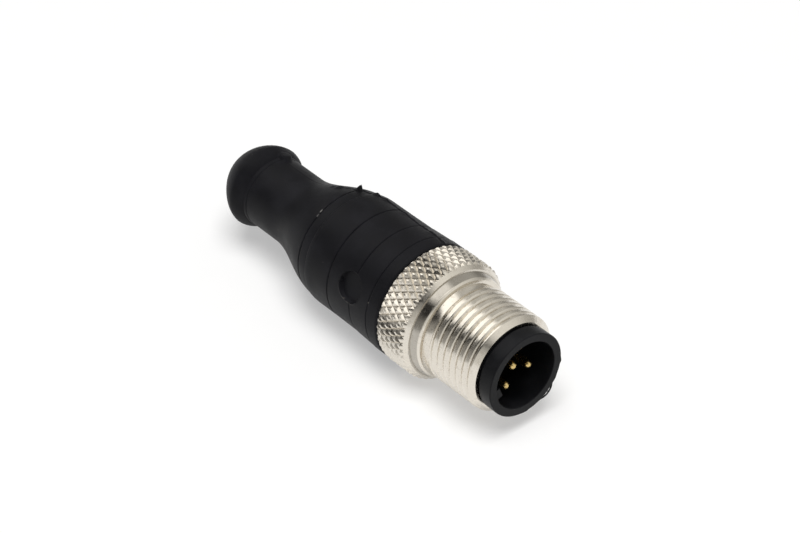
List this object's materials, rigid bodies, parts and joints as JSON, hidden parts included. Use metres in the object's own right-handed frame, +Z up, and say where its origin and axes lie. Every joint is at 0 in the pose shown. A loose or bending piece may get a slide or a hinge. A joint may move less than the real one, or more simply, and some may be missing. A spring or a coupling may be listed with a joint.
{
  "type": "circular sensor connector plug",
  "caption": "Round threaded plug with a knurled coupling screw, pin contacts in a keyed shroud and a black moulded body with a knobbed grip; the screw turns freely.",
  "frame": {"origin": "on the floor under the middle of the plug's length and width", "axes": "+X along the plug towards its mating end, +Z up; it lies on its side"},
  "size_m": [0.0508, 0.0148, 0.0149],
  "materials": {
    "black_tpu": "satin moulded black",
    "carrier_black": "satin moulded black",
    "nickel_brass": "bright nickel plate, turned and knurled",
    "gold_plate": "gold plate",
    "premould": "natural polyethylene",
    "resistor_coat": "lacquer",
    "tinned_wire": "tinned copper",
    "sleeve_blue": "heat-shrink sleeve",
    "solder": "tin solder"
  },
  "bodies": {
    "plug_body": {"overmould_body": "black_tpu", "contact_carrier": "carrier_black", "contact_pin_1": "gold_plate", "contact_pin_2": "gold_plate", "contact_pin_3": "gold_plate", "contact_pin_4": "gold_plate", "contact_pin_5": "gold_plate", "inner_moulding": "premould", "resistor_body": "resistor_coat", "resistor_lead_front": "tinned_wire", "resistor_lead_return": "tinned_wire", "lead_sleeve_front": "sleeve_blue", "lead_sleeve_return": "sleeve_blue", "solder_joint_front": "solder", "solder_joint_return": "solder"},
    "screw": {"coupling_screw": "nickel_brass"}
  },
  "joints": [
    {"name": "coupling_turn", "type": "hinge", "parent": "plug_body", "child": "screw", "pos_m": [0.01735, 0, 0.00744], "axis": [1, 0, 0], "continuous": true}
  ]
}
